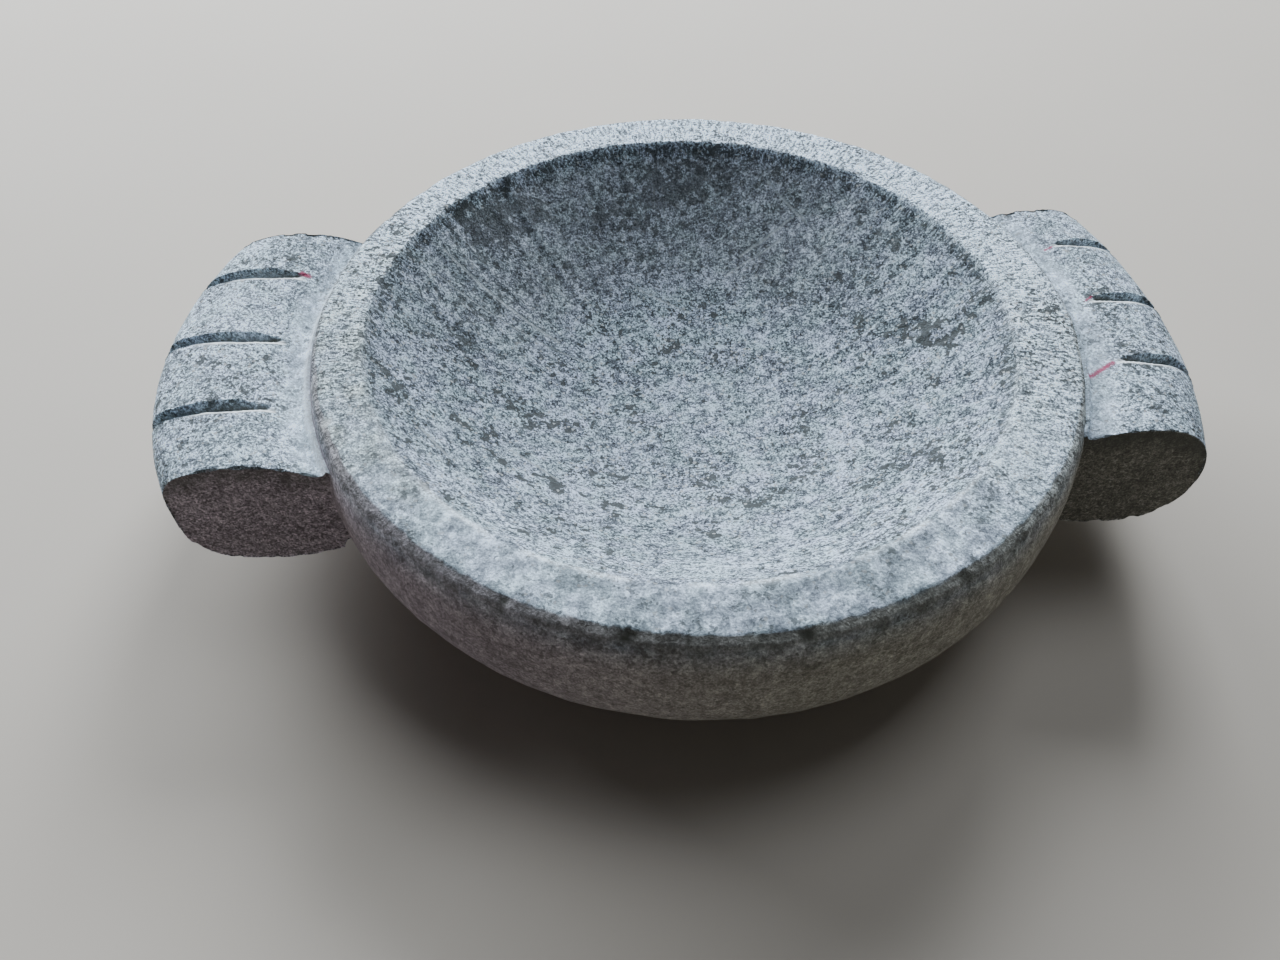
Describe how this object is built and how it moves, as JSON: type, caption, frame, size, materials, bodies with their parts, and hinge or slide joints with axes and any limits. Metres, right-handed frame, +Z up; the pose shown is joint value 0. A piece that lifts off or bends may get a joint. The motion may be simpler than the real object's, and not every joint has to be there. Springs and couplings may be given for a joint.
{
  "type": "molcajete",
  "caption": "Carved stone bowl with a shallow round dish, a flat ring rim and a sawn, finger-grooved lug handle on each side.",
  "frame": {"origin": "centre of the flat base, on the axis of the bowl", "axes": "+Z up out of the dish; +X from the left handle to the right handle; -Y is the side nearest the viewer"},
  "size_m": [0.2785, 0.2076, 0.06],
  "materials": {
    "stone": "fine-grained grey stone, ground and dusty, with charcoal flecks",
    "handle_stone": "the same stone, ground on the crown and sawn rough on the end faces"
  },
  "bodies": {
    "root": {"bowl": "stone", "left_handle": "handle_stone", "right_handle": "handle_stone"}
  },
  "joints": []
}
